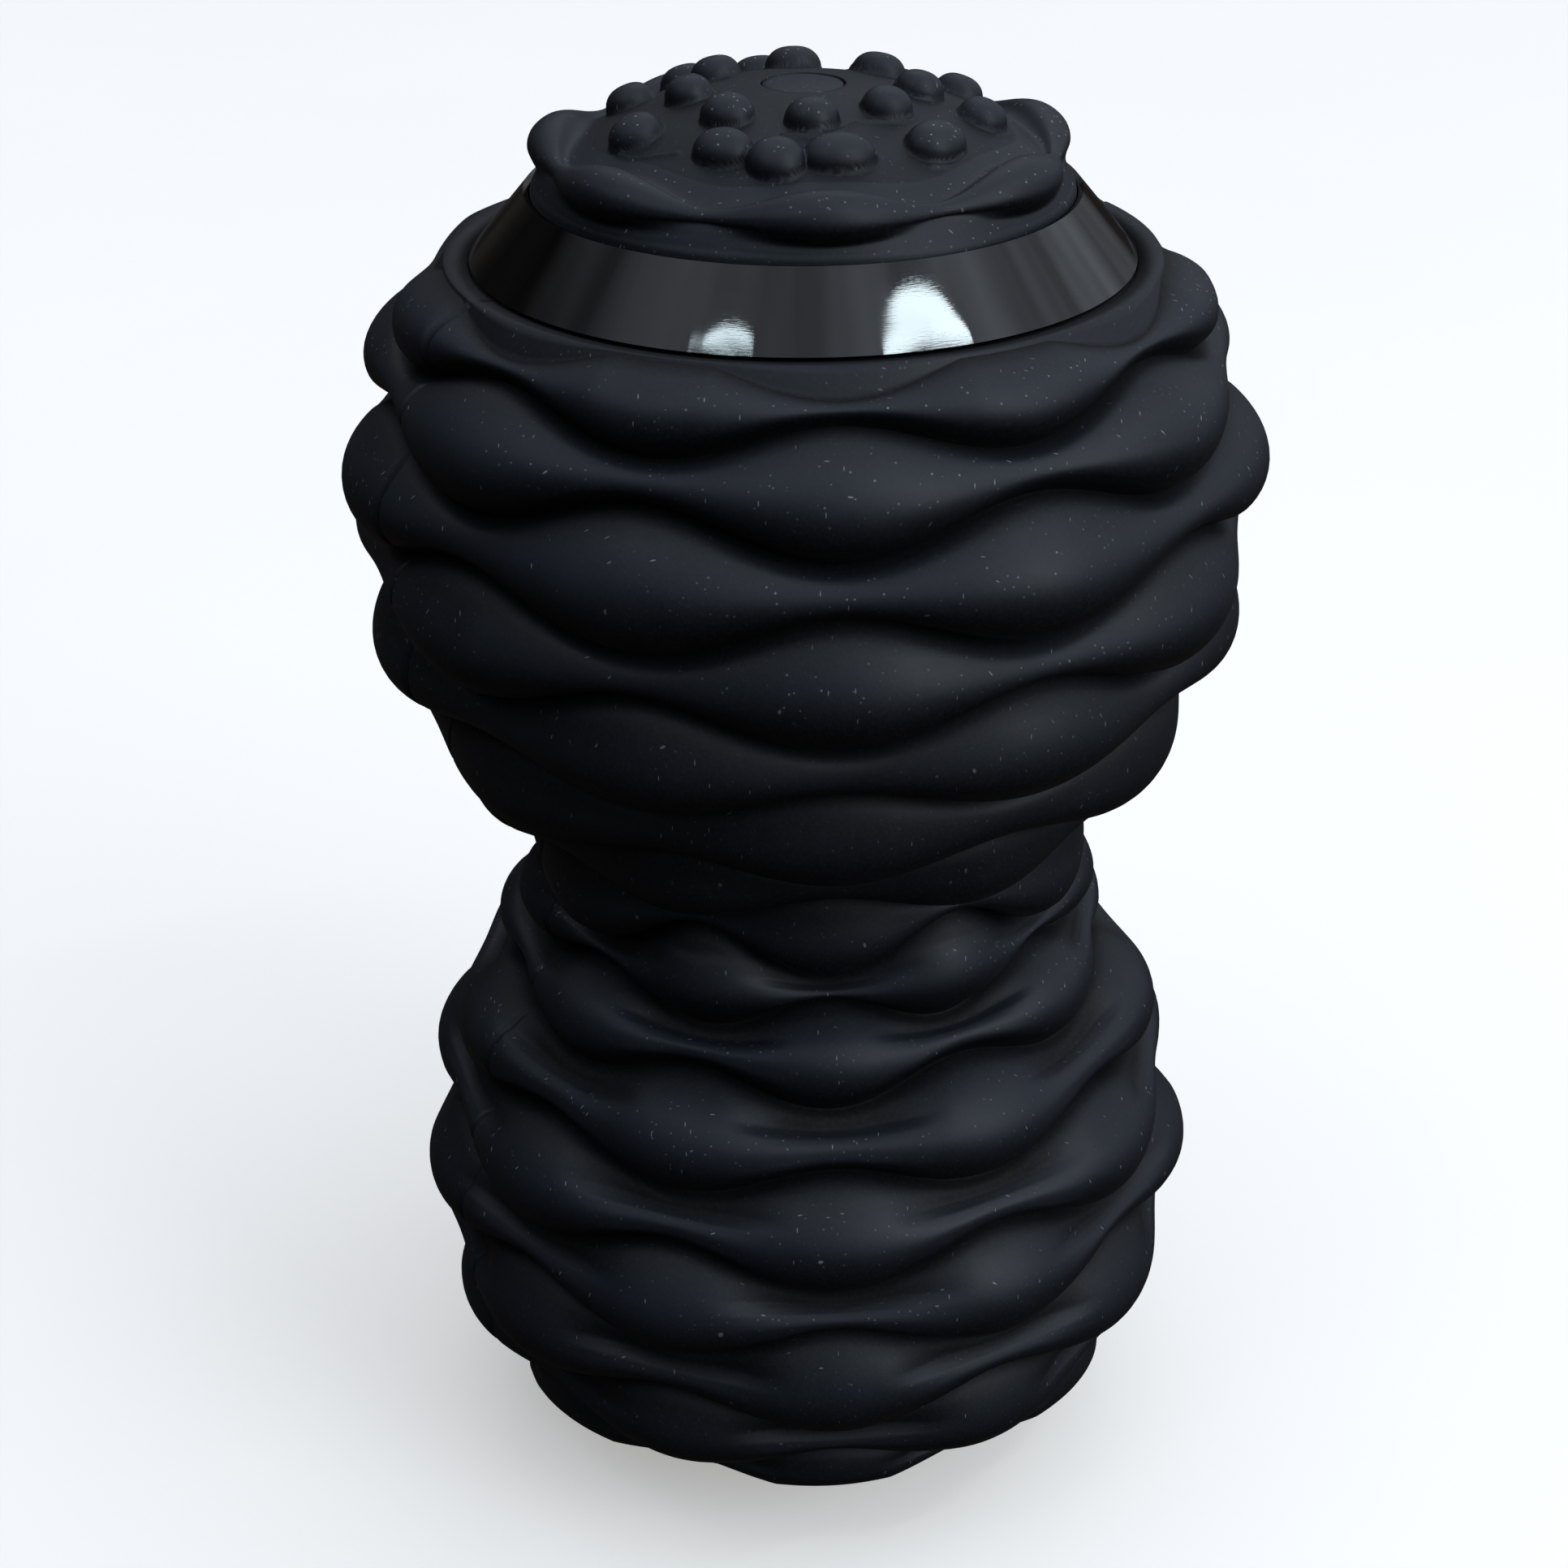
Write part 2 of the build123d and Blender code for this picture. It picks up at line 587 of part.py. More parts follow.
def build():
    shell = hard_shell()
    front_half = Pos(0, -100 - GAP / 2, 72) * Box(200, 200, 200)
    back_half = Pos(0, 100 + GAP / 2, 72) * Box(200, 200, 200)
    return {
        "silicone_sleeve": silicone_sleeve(),
        "top_trim_ring": top_trim_ring(),
        "bottom_trim_ring": bottom_trim_ring(),
        "control_pad": control_pad(),
        "power_button": power_button(),
        "button_plunger": button_plunger(),
        "foot_pad": foot_pad(),
        "port_cover": port_cover(),
        "shell_front": shell & front_half,
        "shell_back": shell & back_half,
        "shell_screws": shell_screws(),
        "control_deck": control_deck(),
        "deck_screws": deck_screws(),
        "pad_support": pad_support(),
        "bottom_end_frame": bottom_end_frame(),
        "end_frame_screws": end_frame_screws(),
        "control_board": control_board(),
        "board_screws": board_screws(),
        "switch_body": switch_body(),
        "switch_stem": switch_stem(),
        "indicator_leds": indicator_leds(),
        "board_chips": board_chips(),
        "charge_board": charge_board(),
        "charge_board_screws": charge_board_screws(),
        "charge_jack": charge_jack(),
        "battery_cell_front": battery_cell(-1),
        "battery_cell_back": battery_cell(1),
        "battery_tray": battery_tray(),
        "battery_contacts": battery_contacts(),
        "battery_foam": battery_foam(),
        "motor_can": motor_can(),
        "motor_end_cap": motor_end_cap(),
        "motor_terminals": motor_terminals(),
        "motor_bush_lower": motor_bush(BUSHES[0]),
        "motor_bush_upper": motor_bush(BUSHES[1]),
        "motor_magnets": motor_magnets(),
        "motor_dampers": motor_dampers(),
        "motor_shaft": motor_shaft(),
        "armature_core": armature_core(),
        "armature_coils": armature_coils(),
        "commutator": commutator(),
        "lower_eccentric_weight": eccentric_weight(*LOWER_WEIGHT),
        "upper_eccentric_weight": eccentric_weight(*UPPER_WEIGHT),
        "weight_screws": weight_screws(),
        "motor_leads": motor_leads(),
        "battery_leads": battery_leads(),
        "charge_leads": charge_leads(),
    }


os.makedirs("parts", exist_ok=True)
for name, piece in build().items():
    export_step(piece, f"parts/{name}.step")
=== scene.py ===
"""Looks of the two-lobed massage roller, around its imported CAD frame. Metres, +Z up."""
import json
import math

import bpy
import numpy as np
from mathutils import Matrix, Vector


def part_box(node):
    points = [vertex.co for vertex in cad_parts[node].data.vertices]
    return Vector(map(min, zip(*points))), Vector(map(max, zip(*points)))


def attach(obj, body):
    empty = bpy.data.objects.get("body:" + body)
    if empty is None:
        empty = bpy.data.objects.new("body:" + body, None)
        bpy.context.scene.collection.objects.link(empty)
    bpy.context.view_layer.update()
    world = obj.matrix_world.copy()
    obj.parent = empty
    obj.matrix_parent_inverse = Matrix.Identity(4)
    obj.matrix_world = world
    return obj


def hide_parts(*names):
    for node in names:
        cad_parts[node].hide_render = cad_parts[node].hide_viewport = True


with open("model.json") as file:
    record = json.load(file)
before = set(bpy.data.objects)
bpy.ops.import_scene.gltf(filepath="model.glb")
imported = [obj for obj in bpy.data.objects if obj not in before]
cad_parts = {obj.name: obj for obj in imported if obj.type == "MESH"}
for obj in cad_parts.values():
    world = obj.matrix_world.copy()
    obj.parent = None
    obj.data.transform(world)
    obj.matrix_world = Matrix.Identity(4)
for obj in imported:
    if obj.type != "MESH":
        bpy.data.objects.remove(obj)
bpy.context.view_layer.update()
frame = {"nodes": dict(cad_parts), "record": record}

MM = 0.001

# ---- sizes shared with the CAD, millimetres ---------------------------------
WAIST_Z = 72.0
LOBE_OFFSET = 39.3
LOBE_R = 42.0
WAIST_R = 28.5
WAIST_BLEND = 5.0
LOWER_SCALE = 0.918
LOWER_FADE = (60.0, 84.0)
SKIN = 2.7
GROOVES = (7.36, 14.10, 22.73, 31.56, 40.28, 49.53, 57.32)
SLEEVE_ENDS = (9.1, 134.9)
TOP_RING_EDGE = (32.45, 135.3)
LOW_RING_EDGE = (29.7, 8.9)
DOME_R = 45.0
DOME_CENTRE_Z = 106.6
BUTTON_R = 4.0
BUTTON_GAP = 0.08
TREAD_FROM, TREAD_TO = 13.0, 20.2       # radii of the foot pad's pressed rings
TREAD_PITCH, TREAD_DEPTH = 1.8, 0.45
RIB_PITCH, RIB_HEIGHT = 1.4, 0.22       # finger ribs under the port cover

# ---- the sleeve's waves -----------------------------------------------------
WAVES = 7
WAVE_TURN = math.radians(5.0)
WAIST_SWING = 2.87                      # how far a groove swings up and down
SWINGS = (1.48, 1.40, 1.54, 2.13, 2.08, 2.08, 1.62)
COLLAR = (62.2, 1.5)                    # collar's distance from the waist, and its swing
RIDGE_HEIGHT = 4.05
RIDGE_WIDTH = 12.9                      # width of the ridge that has that height
RIDGE_TAPER = 0.9                       # power of the width that a narrower ridge's height follows
CREST_DROP, FULLNESS = 1.28, 0.70       # powers that sink a ridge's crest and fill its flanks
LEDGE = (0.33, 0.41)                    # shares of a low ridge's width at its step's foot and top
LEDGE_LIFTS = (0.05, 0.58, 0.37)        # shares of its height gained on the ledge, the step and above
CREASE_WIDTH, CREASE_DEPTH = 0.75, 1.0
EDGE_ROWS = np.linspace(0, 1, 5)        # rows of plain skin between a collar and its trim ring
EDGE_RISE = 0.5                         # rise of that skin, which sets how much of the silicone's pale film shows there: painted light, partly dust
SEAM_AT = math.radians(-62.0)
SEAM_WIDTH, SEAM_DEPTH = 0.35, 1.1

# ---- mesh fineness ----------------------------------------------------------
SLEEVE_STEPS, RIDGE_ROWS = 504, 30
PAD_STEPS = 720
BUTTON_STEPS = 96


def groove_radius(z):
    """Radius of the sleeve at the bottom of its grooves."""
    away = np.abs(z - WAIST_Z)
    sphere = np.sqrt(np.maximum(LOBE_R**2 - (away - LOBE_OFFSET)**2, 1.0))
    nearest = np.where(away < LOBE_OFFSET, sphere, LOBE_R)
    blended = (nearest + WAIST_R + np.hypot(nearest - WAIST_R, WAIST_BLEND)) / 2
    fade = np.clip((z - LOWER_FADE[0]) / (LOWER_FADE[1] - LOWER_FADE[0]), 0, 1)
    scale = LOWER_SCALE + (1 - LOWER_SCALE) * fade**2 * (3 - 2 * fade)
    return (blended + sphere - nearest) * scale


def smooth(value, low, high):
    """0 below low, 1 above high, and an even curve between."""
    t = np.clip((value - low) / (high - low), 0, 1)
    return t * t * (3 - 2 * t)


def dome_z(radius):
    return DOME_CENTRE_Z + np.sqrt(DOME_R**2 - radius**2)


def add_mesh(name, points, faces, body, slot, attributes=None):
    """A smooth mesh from points in millimetres, riding on a body."""
    mesh = bpy.data.meshes.new(name)
    mesh.from_pydata((np.asarray(points) * MM).tolist(), [], faces)
    mesh.polygons.foreach_set("use_smooth", [True] * len(mesh.polygons))
    for key, values in (attributes or {}).items():
        layer = mesh.attributes.new(key, "FLOAT", "POINT")
        layer.data.foreach_set("value", np.asarray(values, np.float32))
    mesh.update()
    piece = bpy.data.objects.new(name, mesh)
    bpy.context.scene.collection.objects.link(piece)
    mesh.materials.append(MATERIALS[slot])
    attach(piece, body)
    return piece


def lathe_faces(rows, steps, closed_rows=False):
    """Quads over a grid of rows by steps that closes round the axis."""
    count = rows if closed_rows else rows - 1
    i, j = np.meshgrid(np.arange(count), np.arange(steps), indexing="ij")
    a = i * steps + j
    b = i * steps + (j + 1) % steps
    c = ((i + 1) % rows) * steps + (j + 1) % steps
    d = ((i + 1) % rows) * steps + j
    return np.stack([a, d, c, b], -1).reshape(-1, 4).tolist()


def lathe_points(radius, z, angles):
    """Grid points from radii and heights, both rows by steps. Angle 0 faces the camera."""
    return np.stack([radius * np.sin(angles), -radius * np.cos(angles), z], -1).reshape(-1, 3)


# ---- silicone sleeve --------------------------------------------------------
def groove_lines(angles):
    """Heights of the grooves from the top down, one row each, with the collars at both ends."""
    wave = np.cos(WAVES * (angles - WAVE_TURN))
    lines = [np.minimum(WAIST_Z + COLLAR[0] - COLLAR[1] * wave, TOP_RING_EDGE[1] - 0.2)]
    offsets = [*GROOVES[::-1], 0.0, *(-g for g in GROOVES)]
    swings = [*SWINGS[::-1], WAIST_SWING, *SWINGS]
    for k, (offset, swing) in enumerate(zip(offsets, swings), start=1):
        lines.append(WAIST_Z + offset - (1 if k % 2 == 0 else -1) * swing * wave)
    lines.append(np.maximum(WAIST_Z - COLLAR[0] - COLLAR[1] * wave, LOW_RING_EDGE[1] + 0.4))
    return np.array(lines)


def plain_rows(start, end, shares):
    """Rows of skin with no ridge between two lines, as (height, lift, rise)."""
    return [(start + (end - start) * share, np.zeros_like(start), np.full_like(start, EDGE_RISE))
            for share in shares]


def ridge_profile(t, ledge):
    """Lift of a ridge from 0 to 1, at share t of its width; ledge from 0 to 1 says how stepped it is."""
    soft = np.sin(np.pi * t**CREST_DROP)**FULLNESS
    on_ledge, on_step, above = LEDGE_LIFTS
    stepped = on_ledge * min(t / LEDGE[0], 1.0) + on_step * smooth(t, *LEDGE)
    stepped = stepped + above * soft * smooth(t, LEDGE[0], 0.6)
    stepped = stepped * smooth(1 - t, 0.0, 0.22)**0.5
    return soft * (1 - ledge) + stepped * ledge


def ridge_rows(high, low, first, last):
    """Rows of one ridge between two grooves. Outer sides of the first and last have no crease."""
    middle = (high + low) / 2
    slope = groove_radius(middle + 0.5) - groove_radius(middle - 0.5)
    width = (high - low) * np.sqrt(1 + slope**2)
    height = RIDGE_HEIGHT * (np.maximum(width, 0.1) / RIDGE_WIDTH)**RIDGE_TAPER
    dip = (high.mean() - high) / max(np.ptp(high) / 2, 0.1)
    ledge = smooth(WAIST_Z - middle, -6, 10) * smooth(dip, -0.8, 0.9)
    shares = (1 - np.cos(np.pi * np.linspace(0, 1, RIDGE_ROWS + 1))) / 2
    rows = []
    for t in shares if last else shares[:-1]:
        belly = ridge_profile(t, ledge)
        crease = ((not first) * np.exp(-(t * width / CREASE_WIDTH)**2)
                  + (not last) * np.exp(-((1 - t) * width / CREASE_WIDTH)**2))
        # The belly's share is also the row's rise, so the silicone paints light on the ridge and shade in
        # its creases.
        rows.append((high + (low - high) * t, height * belly - CREASE_DEPTH * crease, belly))
    return rows


def silicone_sleeve():
    """The sleeve as one closed skin: ridged outside, plain inside, with a mould seam on two sides."""
    by_seam = SEAM_AT + np.radians(np.linspace(-1.6, 1.6, 17))
    angles = np.sort(np.concatenate([np.linspace(-math.pi, math.pi, SLEEVE_STEPS, endpoint=False),
                                     by_seam, by_seam + math.pi]))
    lines = groove_lines(angles)
    bands = len(lines) - 1
    rows = plain_rows(np.full_like(angles, TOP_RING_EDGE[1] + 0.1), lines[0], EDGE_ROWS[:-1])
    for band in range(bands):
        rows += ridge_rows(lines[band], lines[band + 1], band == 0, band == bands - 1)
    rows += plain_rows(lines[-1], np.full_like(angles, LOW_RING_EDGE[1] + 0.1), EDGE_ROWS[1:])
    z, lift, rise = np.array(rows).transpose(1, 0, 2)

    radius = groove_radius(z)
    slope = groove_radius(z + 0.25) - groove_radius(z - 0.25)
    length = np.hypot(0.5, slope)
    seam = np.minimum(np.abs(angles - SEAM_AT), np.abs(angles - SEAM_AT - math.pi)) * radius
    crack = np.exp(-(seam / SEAM_WIDTH)**2) * (0.35 + 0.65 * smooth(z, 80, 112))
    lift = lift - SEAM_DEPTH * crack * (0.3 + 0.7 * rise)
    outer_r = radius + lift * 0.5 / length
    outer_z = np.clip(z - lift * slope / length, LOW_RING_EDGE[1] - 0.2, TOP_RING_EDGE[1] + 0.2)

    inner_z = np.linspace(*SLEEVE_ENDS, 48)[:, None] + 0 * angles
    inner_r = groove_radius(inner_z) - SKIN
    points = np.concatenate([lathe_points(outer_r, outer_z, angles),
                             lathe_points(inner_r, inner_z, angles)])
    faces = lathe_faces(len(outer_z) + len(inner_z), len(angles), closed_rows=True)
    # The inside gets no rise, so the silicone paints it in shade.
    rises = np.concatenate([rise.ravel(), np.zeros(inner_z.size)])
    sleeve = add_mesh("sleeve", points, faces, "housing", "silicone", {"rise": rises})
    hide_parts("silicone_sleeve")


# ---- control pad ------------------------------------------------------------
# Points of the rim's outline: radius and height on a petal, then at the neck between two petals.
RIM_OUTLINE = [((19.5, 147.16), (20.5, 146.66)),
               ((20.9, 146.50), (22.4, 145.60)),
               ((21.9, 146.70), (23.1, 145.35)),
               ((23.2, 147.60), (23.8, 145.65)),
               ((24.9, 147.50), (24.35, 145.45)),
               ((26.3, 146.50), (24.65, 145.10)),
               ((26.8, 145.20), (24.70, 144.75)),
               ((26.4, 144.00), (24.65, 144.45)),
               ((25.8, 143.20), (25.10, 143.80)),
               ((26.0, 142.55), (25.75, 142.75)),
               ((26.3, 141.60), (26.30, 141.60)),
               ((26.3, 138.50), (26.30, 138.50))]
# Angle from the front, radius, half-widths along and across the circle, height.
INNER_NUBS = [(4.6, 10.3, 2.6, 2.3, 2.1), (50, 10.1, 2.5, 2.4, 2.1), (94, 11.0, 2.4, 2.4, 2.1),
              (139, 11.2, 2.9, 2.3, 2.1), (-175, 11.0, 2.8, 2.3, 2.1), (-130, 11.0, 2.6, 2.4, 2.1),
              (-85, 10.8, 2.4, 2.3, 2.1), (-40, 10.8, 2.7, 2.4, 2.1)]
OUTER_NUBS = [(-26.5, 16.1, 3.0, 2.3, 2.0), (-8, 17.0, 2.8, 2.5, 2.1), (11.5, 16.3, 3.5, 2.3, 2.0),
              (46.5, 16.7, 3.3, 2.4, 2.1), (84, 17.0, 2.7, 2.3, 2.0), (120, 17.5, 2.8, 2.2, 2.0),
              (155, 17.3, 3.0, 2.2, 2.0), (-166, 17.8, 3.0, 2.2, 2.0), (-138, 17.3, 2.7, 2.3, 2.0),
              (-107, 17.4, 2.6, 2.3, 2.0), (-64, 17.2, 2.6, 2.5, 2.1)]
# Thin mould lips beside the nubs: points as (angle, radius), height.
LIPS = [([(-8, 12.9), (4, 12.8), (14, 12.6), (26, 11.4), (38, 11.8), (50, 12.8), (58, 12.4)], 0.3),
        ([(38, 19.0), (44, 19.5), (52, 19.2)], 0.3),
        ([(-60, 19.6), (-53, 19.3), (-46, 18.2), (-41, 17.4)], 0.28),
        ([(76, 18.9), (82, 19.6), (90, 19.0)], 0.3)]


def spline_rows(control, rows):
    """Catmull-Rom rows through control points, which are points by steps."""
    control = np.concatenate([2 * control[:1] - control[1:2], control, 2 * control[-1:] - control[-2:-1]])
    spans = len(control) - 3
    found = []
    for u in np.linspace(0, spans - 1e-9, rows):
        i, t = int(u), u % 1
        a, b, c, d = control[i:i + 4]
        found.append(0.5 * (2 * b + (c - a) * t + (2 * a - 5 * b + 4 * c - d) * t**2
                            + (3 * b - a - 3 * c + d) * t**3))
    return np.array(found)


def pebble(x, y, nub):
    """Height of one nub over the dome at x, y."""
    degrees, radius, along, across, height = nub
    turn = math.radians(degrees)
    cx, cy = radius * math.sin(turn), -radius * math.cos(turn)
    u = ((x - cx) * math.cos(turn) + (y - cy) * math.sin(turn)) / along
    v = ((x - cx) * math.sin(turn) - (y - cy) * math.cos(turn)) / across
    rho = np.sqrt(u * u + v * v)
    return height * np.clip(1 - rho**2.6, 0, 1)**0.55


def lip(x, y, line, height):
    """Height of a thin raised line through points given by angle and radius."""
    points = np.array([(r * math.sin(math.radians(a)), -r * math.cos(math.radians(a))) for a, r in line])
    fine = spline_rows(points[:, :, None], 12 * len(points))[:, :, 0]
    nearest = np.full_like(x, 9.0)
    for px, py in fine:
        nearest = np.minimum(nearest, np.hypot(x - px, y - py))
    return height * np.exp(-(nearest / 0.22)**2)


def control_pad():
    """The domed pad with its nubs, mould lips and petalled rim, round the button's hole."""
    angles = np.linspace(-math.pi, math.pi, PAD_STEPS, endpoint=False)
    hole = BUTTON_R + BUTTON_GAP
    petal = (0.5 + 0.5 * np.cos(WAVES * (angles - WAVE_TURN)))**0.85
    outline = np.array(RIM_OUTLINE)
    control = outline[:, 1, :, None] + (outline[:, 0] - outline[:, 1])[:, :, None] * petal
    rim = spline_rows(control, 66)
    start = rim[0, 0]
    dome_r = hole + (start - hole) * np.linspace(0, 1, 78)[:-1, None]
    radius = np.concatenate([np.full((3, PAD_STEPS), hole), dome_r, rim[:, 0]])
    z = np.concatenate([dome_z(hole) - np.array([2.4, 1.2, 0.3])[:, None] + 0 * angles,
                        dome_z(dome_r), rim[:, 1]])
    x, y = radius * np.sin(angles), -radius * np.cos(angles)
    lift = np.zeros_like(x)
    on_dome = np.arange(len(x)) < 3 + len(dome_r)
    for nub in INNER_NUBS + OUTER_NUBS:
        lift = np.maximum(lift, pebble(x, y, nub))
    for line, height in LIPS:
        lift = np.maximum(lift, lip(x, y, line, height))
    lift = lift * (radius < 21.2) * (radius > hole + 0.01)
    lean = lift * (radius / DOME_R)
    points = lathe_points(radius + lean, z + lift * np.sqrt(1 - (radius / DOME_R)**2), angles)
    under = np.array([(24.4, 138.5), (24.4, 143.0), (12.0, 146.9), (hole, 147.6)])
    under_points = lathe_points(under[:, :1] + 0 * angles, under[:, 1:] + 0 * angles, angles)
    rows = len(radius) + len(under)
    # Rise sets the silicone's painted light here: some on the dome, more on the nubs, most on the rim, and
    # none underneath, which is painted in shade.
    rise = np.concatenate([np.where(on_dome[:, None], 0.36 + 0.25 * lift, 0.75).ravel(),
                           np.zeros(under_points.shape[0])])
    pad = add_mesh("control_pad_skin", np.concatenate([points, under_points]),
                   lathe_faces(rows, PAD_STEPS, closed_rows=True), "housing", "silicone", {"rise": rise})
    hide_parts("control_pad")


def power_button():
    """The button's cap, flush with the dome, with a softened edge."""
    angles = np.linspace(-math.pi, math.pi, BUTTON_STEPS, endpoint=False)
    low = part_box("power_button")[0].z / MM
    outline = [(0.3, 0.0), (1.2, -0.02), (2.4, -0.05), (3.3, -0.06), (3.8, -0.10), (3.95, -0.25),
               (BUTTON_R, -0.6)]
    radius = np.array([r for r, _ in outline] + [BUTTON_R, 0.3])[:, None] + 0 * angles
    z = np.array([dome_z(np.array(r)) + dz for r, dz in outline] + [low, low])[:, None] + 0 * angles
    faces = lathe_faces(len(radius), BUTTON_STEPS)
    last = BUTTON_STEPS * (len(radius) - 1)
    faces += [list(range(BUTTON_STEPS)), list(range(last + BUTTON_STEPS - 1, last - 1, -1))]
    # A fixed rise of 0.6 sets how much painted light the cap's silicone shows.
    button = add_mesh("button_cap", lathe_points(radius, z, angles), faces,
                      "button", "silicone", {"rise": np.full(radius.size, 0.6)})
    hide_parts("power_button")


# ---- moulded silicone pieces under the foot ---------------------------------
def moulded(name, node, body, voxel, shape):
    """A rounded copy of a silicone solid, its points then moved by shape, all in millimetres."""
    solid = frame["nodes"][node]
    draft = bpy.data.objects.new(name + "_draft", solid.data.copy())
    draft.matrix_world = solid.matrix_world
    bpy.context.scene.collection.objects.link(draft)
    remesh = draft.modifiers.new("remesh", "REMESH")
    remesh.mode, remesh.voxel_size = "VOXEL", voxel * MM
    even = draft.modifiers.new("even", "SMOOTH")
    even.factor, even.iterations = 0.5, 5
    found = draft.evaluated_get(bpy.context.evaluated_depsgraph_get())
    mesh = bpy.data.meshes.new_from_object(found)
    points = np.empty(3 * len(mesh.vertices), np.float32)
    mesh.vertices.foreach_get("co", points)
    points = points.reshape(-1, 3).astype(float) @ np.array(solid.matrix_world.to_3x3()).T
    points = (points + np.array(solid.matrix_world.translation)) / MM
    faces = [list(face.vertices) for face in mesh.polygons]
    bpy.data.objects.remove(draft)
    # A fixed rise of 0.4 sets how much painted light these pieces' silicone shows.
    piece = add_mesh(name, shape(points), faces, body, "silicone", {"rise": np.full(len(points), 0.4)})
    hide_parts(node)


def tread(points):
    """Rings pressed into the foot pad's standing face, each cut into blocks by seven spokes."""
    radius = np.hypot(points[:, 0], points[:, 1])
    angle = np.arctan2(points[:, 0], -points[:, 1])
    face = (smooth(-points[:, 2], -0.45, -0.05) * smooth(radius, TREAD_FROM, TREAD_FROM + 0.6)
            * (1 - smooth(radius, TREAD_TO - 0.6, TREAD_TO)))
    rings = smooth(np.cos(2 * math.pi * (radius - TREAD_FROM) / TREAD_PITCH), 0.35, 0.9)
    spokes = smooth(np.cos(WAVES * (angle - WAVE_TURN)), 0.985, 0.998)
    points[:, 2] += TREAD_DEPTH * face * np.maximum(rings, spokes)
    return points


def finger_ribs(points):
    """Three low ribs across the free end of the port cover."""
    x, y, z = points.T
    under = smooth(-z, -0.9, -0.45) * (1 - smooth(np.abs(y), 3.2, 3.9))
    ribs = smooth(np.cos(2 * math.pi * (x - 4.0) / RIB_PITCH), 0.1, 0.8)
    along = smooth(x, 1.9, 2.1) * (1 - smooth(x, 6.0, 6.2))
    points[:, 2] -= RIB_HEIGHT * under * ribs * along
    return points


# ---- materials --------------------------------------------------------------
class Nodes:
    """A material's node tree, written a node at a time."""

    def __init__(self, name):
        self.material = bpy.data.materials.new(name)
        self.material.use_nodes = True
        self.tree = self.material.node_tree
        self.shader = self.tree.nodes["Principled BSDF"]
        self.place = self.add("ShaderNodeTexCoord").outputs["Object"]

    def add(self, kind, settings=None, **inputs):
        node = self.tree.nodes.new(kind)
        for key, value in (settings or {}).items():
            setattr(node, key, value)
        for key, value in inputs.items():
            self.put(node.inputs[key.replace("_", " ")], value)
        return node

    def put(self, socket, value):
        if isinstance(value, bpy.types.NodeSocket):
            self.tree.links.new(value, socket)
        else:
            socket.default_value = value

    def noise(self, scale, detail=4.0, roughness=0.55, stretch=(1, 1, 1)):
        place = self.add("ShaderNodeMapping", Vector=self.place, Scale=stretch).outputs[0]
        return self.add("ShaderNodeTexNoise", Vector=place, Scale=scale, Detail=detail,
                        Roughness=roughness).outputs["Fac"]

    def ramp(self, value, low, high, start=0.0, end=1.0):
        """value's range low to high, mapped to start to end and held there."""
        return self.add("ShaderNodeMapRange", {"clamp": True}, Value=value, From_Min=low, From_Max=high,
                        To_Min=start, To_Max=end).outputs[0]

    def math(self, operation, a, b=0.0):
        node = self.add("ShaderNodeMath", {"operation": operation})
        self.put(node.inputs[0], a)
        self.put(node.inputs[1], b)
        return node.outputs[0]

    def blend(self, share, a, b):
        node = self.add("ShaderNodeMix", {"data_type": "RGBA"})
        for socket, value in zip((node.inputs[0], node.inputs[6], node.inputs[7]), (share, a, b)):
            self.put(socket, value)
        return node.outputs[2]

    def bump(self, height, distance, strength=1.0, normal=None):
        node = self.add("ShaderNodeBump", Height=height, Distance=distance, Strength=strength)
        if normal is not None:
            self.put(node.inputs["Normal"], normal)
        return node.outputs[0]

    def finish(self, **inputs):
        for key, value in inputs.items():
            self.put(self.shader.inputs[key.replace("_", " ")], value)
        return self.material


def colour(r, g, b):
    return (r, g, b, 1.0)


def specks(n, scale, size, share, stretch=(1, 1, 1), turn=(0, 0, 0)):
    """1 on a scatter of small specks or short fibres, 0 elsewhere."""
    place = n.add("ShaderNodeMapping", Vector=n.place, Rotation=turn, Scale=stretch).outputs[0]
    cells = n.add("ShaderNodeTexVoronoi", Vector=place, Scale=scale)
    near = n.ramp(cells.outputs["Distance"], size * 0.6, size, 1.0, 0.0)
    picked = n.add("ShaderNodeSeparateColor", Color=cells.outputs["Color"]).outputs[0]
    return n.math("MULTIPLY", near, n.math("LESS_THAN", picked, share))


